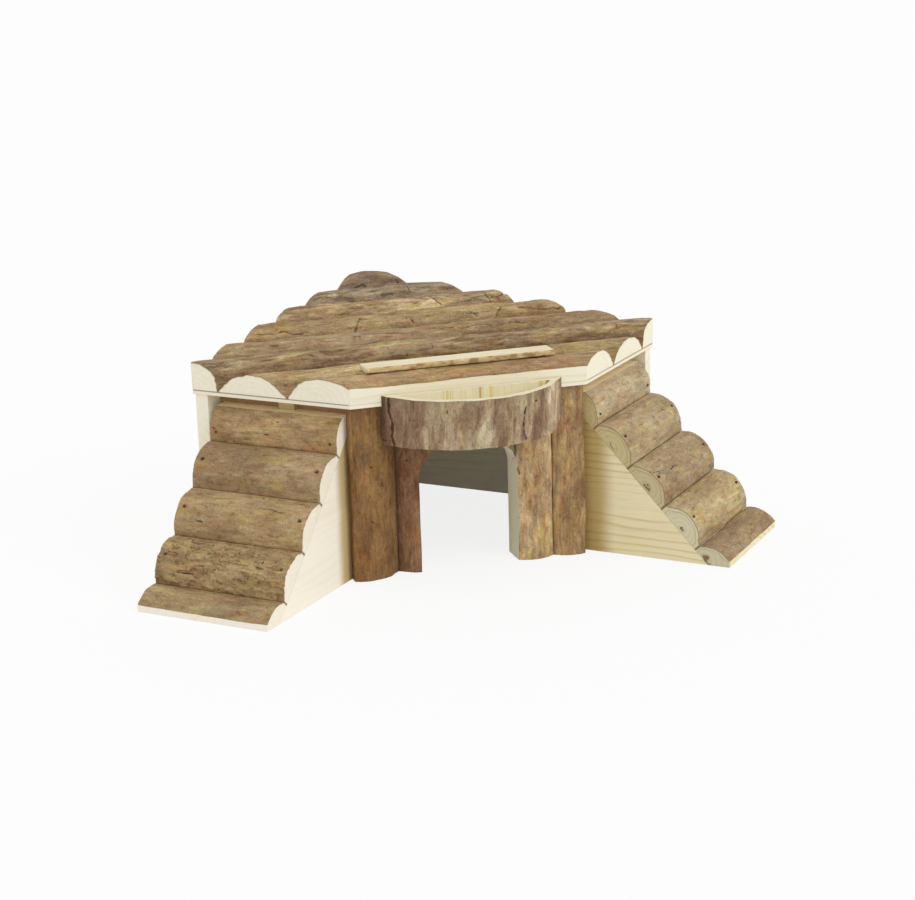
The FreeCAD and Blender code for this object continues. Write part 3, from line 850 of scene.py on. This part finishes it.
POST_BARK = dict(lumps=0.5, ridges=0.35, strips=0.12, cracks=0.02)
FRONT_LOGS = {
    # tone, bark, flat sides, where its section is taken, and whether the doorway cuts it
    "front_post_1": ((131, 95, 54), Bark(11, foot=0.1, **POST_BARK), [Y, LEFT_INWARD], 0.7, False),
    "front_post_2": ((128, 90, 62), Bark(12, foot=0.1, **POST_BARK), [Y], 0.78, True),
    "front_post_3": ((182, 154, 113), Bark(13, foot=0.55, bare=[((46.5, -74.5, 22), 4, 1.4)], **POST_BARK),
                     [Y, -X], 0.7, False),
    "front_post_4": ((162, 130, 88), Bark(14, foot=0.5, **POST_BARK), [Y, RIGHT_INWARD], 0.7, False),
    "lintel_log_1": ((150, 122, 88), Bark(15, **POST_BARK), [Y], 0.42, True),
    "lintel_log_2": ((170, 142, 104), Bark(16, **POST_BARK), [Y], 0.42, True),
}


def door_cutter(material):
    """The arched space of the doorway."""
    mesh = bmesh.new()
    bmesh.ops.create_cube(mesh, size=1)
    low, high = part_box("front_board")
    front = low.y - DOOR_BEFORE
    size = (DOOR_WIDTH, high.y - front + DOOR_BEHIND, 2 * DOOR_HEIGHT)
    bmesh.ops.scale(mesh, vec=size, verts=mesh.verts)
    bmesh.ops.translate(mesh, vec=(0, (high.y + front + DOOR_BEHIND) / 2, 0), verts=mesh.verts)
    corners = [e for e in mesh.edges if all(v.co.z > 0 for v in e.verts)
               and abs(e.verts[0].co.x - e.verts[1].co.x) < MM]
    round_edges(mesh, corners, DOOR_CORNER, 10)
    return made_object("doorway_space", mesh, [material])


def make_front(end, board):
    """The half logs on the front board. The doorway's arch is cut out of those beside it and over it."""
    cutter = door_cutter(board)
    for number, (node, (tone, bark, flats, share, arched)) in enumerate(FRONT_LOGS.items(), 1):
        skin = bark_surface("bark_" + node, Z, tone, number * 2.3 + 20, streaks=0.5, grey=0.7,
                            wrinkles=0.2, rough=0.3, clouds=0.8)
        made = half_log(node + "_bark", node, Z, flats, bark, [skin, end, board], share)
        if arched:
            cut_away(made, cutter)
    bpy.data.objects.remove(cutter)


# ---- the ladders ----

SMOOTH = dict(lumps=0.45, ridges=0.25, strips=0.12, cracks=0.05, foot=0.3)
FLAKY = dict(lumps=0.5, ridges=0.4, strips=0.1, cracks=0.12, plates=0.9, foot=0.3)
RUNGS = {
    # tone, how scuffed and how shredded it looks, and the bark, from the lowest rung up
    "left": [
        ((167, 142, 102), 0.0, 0.2, Bark(21, **SMOOTH)),
        ((165, 139, 98), 0.0, 0.15, Bark(22, **FLAKY)),
        ((177, 150, 107), 0.0, 0.1, Bark(23, **SMOOTH)),
        ((169, 144, 105), 0.15, 0.0, Bark(24, **SMOOTH)),
        ((168, 137, 95), 0.0, 0.4, Bark(25, **SMOOTH)),
    ],
    "right": [
        ((160, 136, 101), 0.0, 0.15, Bark(31, **SMOOTH)),
        ((184, 162, 118), 0.0, 0.15, Bark(32, **SMOOTH)),
        ((166, 143, 107), 0.35, 0.15, Bark(33, **SMOOTH)),
        ((178, 157, 120), 0.0, 0.0, Bark(34, **SMOOTH)),
        ((188, 168, 130), 0.2, 0.0, Bark(35, **SMOOTH)),
    ],
}
TOP_RUNG = 5
RIGHT_END_TONES = [(206, 200, 168), (216, 209, 176), (202, 188, 147), (204, 190, 142), (200, 185, 136)]


def slope_up(side, along):
    """The direction square to a ladder's slope, from the flat side of a middle rung."""
    mesh = cad_mesh(side + "_ladder_rung_3")
    flat = max((f for f in mesh.faces if abs(f.normal.dot(along)) < 0.1), key=lambda f: f.calc_area())
    up = -flat.normal.copy()
    mesh.free()
    return up


def nail_heads(node, out):
    """The middles of a group's nail heads, the lowest first."""
    mesh = cad_mesh(node)
    heads = [face.calc_center_median() for face in mesh.faces if face.normal.dot(out) > SAME_WAY]
    mesh.free()
    return sorted(heads, key=lambda head: head.z)


def rung_ends(side):
    """The sawn ends of a ladder's rungs: plain and pale on the left, ringed and cracked on the right."""
    if side == "left":
        return [end_surface("pale_rung_end", (246, 238, 220), 0.12)] * TOP_RUNG
    return [end_surface("rung_end_%d" % number, tone, 0.5, bast=0.7, check=0.9)
            for number, tone in enumerate(RIGHT_END_TONES, 1)]


def ladder_wood(side, out):
    """The side boards of one ladder, whose grain lies level: plain on the left, lined on the right."""
    low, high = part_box(side + "_ladder_inner_board")
    pith = (low + high) / 2 - Z * 90 * MM + Vector((-out.y, out.x, 0)) * 30 * MM
    wall = min(v.co.dot(out) for v in frame["nodes"][side + "_ladder_inner_board"].data.vertices)
    # painted shade on the side board, where it meets the house and the post
    corner = (out, wall, PAINTED_SHADE_REACH[side])
    if side == "left":
        return pine_surface("pine_left_ladder", out, pith, (250, 243, 227), (238, 224, 194), 0.3,
                            corner=corner)
    return pine_surface("pine_right_ladder", out, pith, (240, 228, 188), (206, 176, 112), 0.7, 4.2,
                        corner=corner)


def make_ladder(side, way, seed, painted_light_top_flat):
    """One ladder: its rungs, with a dent round each nail that is driven into their bark, and boards."""
    along, out = Vector((way, 1, 0)).normalized(), Vector((way, -1, 0)).normalized()
    board = ladder_wood(side, out)
    up = slope_up(side, along)
    heads = nail_heads(side + "_ladder_nails", up)
    rows = zip(RUNGS[side], rung_ends(side))
    for number, ((tone, scuffs, rough, bark), end) in enumerate(rows, 1):
        node = "%s_ladder_rung_%d" % (side, number)
        # foot: painted shade between the rungs, towards each rung's flat side
        skin = bark_surface("bark_" + node, along, tone, number * 3.1 + seed, streaks=0.35, patches=0.6,
                            wrinkles=0.5, scuffs=scuffs, rough=rough, foot=(0.46, 0.0, 0.6))
        flats, flat = [-up], board
        if number == 1:
            flats += [out, -Z]
        elif number == TOP_RUNG:
            flats += [Z, -out]
            # the top rung's flat gets the paler pine that paints light
            flat = painted_light_top_flat
        else:
            bark.dents = heads[2 * number - 4:2 * number - 2]
        half_log(node + "_bark", node, along, flats, bark, [skin, end, flat])
    for name in ("inner_board", "outer_board", "block"):
        eased_board("%s_ladder_%s" % (side, name), board, FINE_EDGE)


# ---- the food bowl ----

BOWL_TONE = (153, 126, 97)
BOWL_BARK = Bark(17, 0.7, 0.35, 0.2, 0.0, gape=1.3, splits=[
    ((-48.6, -84.1, 105), (-48.0, -84.9, 92)),
    ((-48.0, -84.9, 92), (-46.3, -87.2, 79)),
    ((21.7, -107.7, 99), (19.3, -108.4, 90)),
    ((19.3, -108.4, 90), (21.8, -108, 81)),
], bare=[((-33, -100, 85), 8, 2.6), ((46, -87.5, 94), 20, 13)])
BOWL_CHIP = (Vector((49.5, 0, 82.5)) * MM, Vector((0.62, 0, -0.78)))
BOWL_FLOOR = 17 * MM         # from its rim down to the floor of its hollow
HOLLOW_LEVEL = 6 * MM        # from its rim down to where the plan of the hollow is read
HOLLOW_OVER = 5 * MM         # how far the space of the hollow reaches over the rim
HOLLOW_CORNER = 2.5 * MM
GOUGE_MARKS = ((2.2, 3.3, 0.45), (9, 8.1, 0.5))   # size in mm, place in the noise, depth in mm


def hollow_cutter(material):
    """The space of the hollow: its own plan, drawn down to its floor, with the marks of the gouge."""
    mesh = cad_mesh("food_bowl")
    low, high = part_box("food_bowl")
    leave_section(mesh, Z, high.z - HOLLOW_LEVEL)
    rim, waiting = set(), [max(mesh.verts, key=lambda v: v.co.x)]
    while waiting:
        vertex = waiting.pop()
        rim.add(vertex)
        waiting += [e.other_vert(vertex) for e in vertex.link_edges if e.other_vert(vertex) not in rim]
    bmesh.ops.delete(mesh, geom=list(rim), context="VERTS")
    for edge in mesh.edges[:]:
        divide(mesh, edge, STEP_ALONG)
    middle = (low + high) / 2
    for vertex in mesh.verts:
        place = vertex.co / MM
        depth = sum(noise.noise(Vector((place.x / size, place.y / size, level))) * deep
                    for size, level, deep in GOUGE_MARKS)
        outward = Vector((vertex.co.x - middle.x, vertex.co.y - middle.y, 0)).normalized()
        vertex.co += outward * depth * MM
        vertex.co.z = high.z + HOLLOW_OVER
    tips = set(draw_out(mesh, -Z * (BOWL_FLOOR + HOLLOW_OVER)))
    floor = [e for e in mesh.edges if all(v in tips for v in e.verts)]
    bmesh.ops.edgeloop_fill(mesh, edges=floor)
    bmesh.ops.edgeloop_fill(mesh, edges=[e for e in mesh.edges if e.is_boundary])
    bmesh.ops.recalc_face_normals(mesh, faces=mesh.faces)
    round_edges(mesh, floor, HOLLOW_CORNER, 3)
    return made_object("hollow_space", mesh, [material])


def make_bowl(board):
    """The bowl: a slice of trunk with a flat back, a chip off one end and a gouged hollow."""
    skin = bark_surface("bark_bowl", Z, BOWL_TONE, 77, streaks=0.2, patches=0.35, grey=0.4,
                        wrinkles=0.1, bands=0.85)
    rim = end_surface("bowl_rim", (238, 228, 198), 0.15, 0.985)
    made = half_log("food_bowl_wood", "food_bowl", Z, [Y], BOWL_BARK, [skin, rim, board],
                    0.12, [BOWL_CHIP])
    cutter = hollow_cutter(hollow_surface("bowl_hollow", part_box("food_bowl")[1].z - BOWL_FLOOR))
    cut_away(made, cutter)
    bpy.data.objects.remove(cutter)


# ---- boards and nails ----

def eased_board(node, material, edge=EASED_EDGE, outside=None):
    """A board with its sawn edges very slightly rounded. Its outside may have a material of its own: on the
    face boards, a darker one that paints shade.
    """
    mesh = cad_mesh(node)
    sharp = [e for e in mesh.edges if len(e.link_faces) == 2 and e.calc_face_angle() > SHARP_ANGLE
             and e.calc_length() > SHORTEST_SHARP]
    round_edges(mesh, sharp, edge, 2)
    materials = [material]
    for face in mesh.faces:
        face.smooth = False
    if outside:
        way, finish = outside
        materials.append(finish)
        for face in mesh.faces:
            face.material_index = int(face.normal.dot(way) > OUTSIDE)
    return piece(node + "_wood", mesh, materials, node)


def make_boards():
    """The walls, the cleats, the roof panel and the plate. The face boards' outside is darker: painted
    shade.
    """
    cross = pine_surface("pine_front", X, Vector((0, -0.12, 0.02)))
    left = pine_surface("pine_left", LEFT_INWARD, Vector((0.1, 0.06, -0.03)), (247, 241, 219), lines=0.4)
    right = pine_surface("pine_right", RIGHT_INWARD, Vector((-0.1, 0.06, -0.03)), (247, 241, 219), lines=0.4)
    # painted shade: darker copies of the pine for the face boards' outside, which lies in the shade under
    # the roof
    painted_shade_pith = Vector((0, 0.1, -0.05))
    painted_shade_left = pine_surface("pine_painted_shade_left", LEFT_INWARD, painted_shade_pith, (166, 128, 84), (140, 104, 62))
    painted_shade_right = pine_surface("pine_painted_shade_right", RIGHT_INWARD, painted_shade_pith, (206, 176, 126), (176, 142, 92))
    for node, wood, outside in (
            ("front_board", cross, None),
            ("left_face_board", left, (-RIGHT_INWARD, painted_shade_left)),
            ("right_face_board", right, (-LEFT_INWARD, painted_shade_right)),
            ("left_back_wall", right, None),
            ("right_back_wall", left, None),
            ("roof_cleat_front", cross, None),
            ("roof_cleat_left", cross, None),
            ("roof_cleat_right", cross, None)):
        eased_board(node, wood, outside=outside)
    low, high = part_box("roof_panel")
    eased_board("roof_panel", panel_surface("plywood", low.y, high.z), PANEL_EDGE)
    eased_board("name_plate", plate_surface("plate_wood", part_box("name_plate")[0].y), PLATE_EDGE)


def make_nails():
    """The nails keep the shape of their nodes and get a better material."""
    steel = steel_surface("nail_steel")
    for node, made in frame["nodes"].items():
        if node.endswith("nails"):
            made.data.materials.clear()
            made.data.materials.append(steel)


# ---- camera, floor and light ----

def make_camera():
    data = bpy.data.cameras.new("camera")
    data.sensor_width = SENSOR_WIDTH
    data.lens = CAMERA_LENS * SENSOR_WIDTH
    turn = (Matrix.Rotation(math.radians(-CAMERA_YAW), 4, "Z")
            @ Matrix.Rotation(math.radians(90 + CAMERA_PITCH), 4, "X")
            @ Matrix.Rotation(math.radians(CAMERA_ROLL), 4, "Z"))
    made = placed("camera", data)
    made.matrix_world = Matrix.Translation(CAMERA_PLACE) @ turn
    bpy.context.scene.camera = made


def make_floor():
    """A wide sheet of white paper. It looks nearly white where nothing shades it."""
    surface = Surface("floor_paper")
    surface.finish(colour(246, 246, 246), 0.9)
    paper = Value(surface, surface.shader.outputs[0])
    glow = surface.node("ShaderNodeEmission", None, {"Color": colour(255, 255, 255), "Strength": 1.0})
    surface.end_in_both("Material Output", surface.backdrop_ray() * FLOOR_GLOW, paper, glow)
    mesh = bmesh.new()
    bmesh.ops.create_grid(mesh, x_segments=1, y_segments=1, size=FLOOR_SIZE)
    made = made_object("floor", mesh, [surface.material])


def make_light():
    """An even white sky, seen as plain white behind the house, and one broad lamp from the front right."""
    world = bpy.data.worlds.new("studio")
    bpy.context.scene.world = world
    world.use_nodes = True
    nodes = Nodes(world.node_tree)
    sky = world.node_tree.nodes["Background"]
    white = {"Color": (1, 1, 1, 1), "Strength": 1.0}
    backdrop = nodes.node("ShaderNodeBackground", None, white)
    nodes.join(sky.inputs["Color"], white["Color"])
    nodes.join(sky.inputs["Strength"], SKY_STRENGTH)
    nodes.end_in_both("World Output", nodes.backdrop_ray(), Value(nodes, sky.outputs[0]), backdrop)

    data = bpy.data.lights.new("key", "SUN")
    data.energy, data.angle = KEY_STRENGTH, math.radians(KEY_ANGLE)
    made = placed("key", data)
    made.rotation_mode = "QUATERNION"
    made.rotation_quaternion = (-KEY_FROM).to_track_quat("-Z", "Y")


bpy.context.scene.view_settings.view_transform = "Standard"
make_camera()
make_floor()
make_light()
sawn_end = end_surface("sawn_end")
flat_pith = Vector((0, 0.05, -0.06))
sawn_flat = pine_surface("sawn_flat", X, flat_pith, (240, 234, 210), lines=0.3)
# painted light: a paler copy of the sawn flat pine, so that the top rungs' flat stays light in the shade
# under the roof
painted_light_rung_top = pine_surface("painted_light_top_flat", X, flat_pith, (255, 240, 200), (226, 200, 150))
make_roof(sawn_end, sawn_flat)
make_front(sawn_end, sawn_flat)
make_ladder("left", -1, 40, painted_light_rung_top)
make_ladder("right", 1, 120, painted_light_rung_top)
make_bowl(sawn_flat)
make_boards()
make_nails()
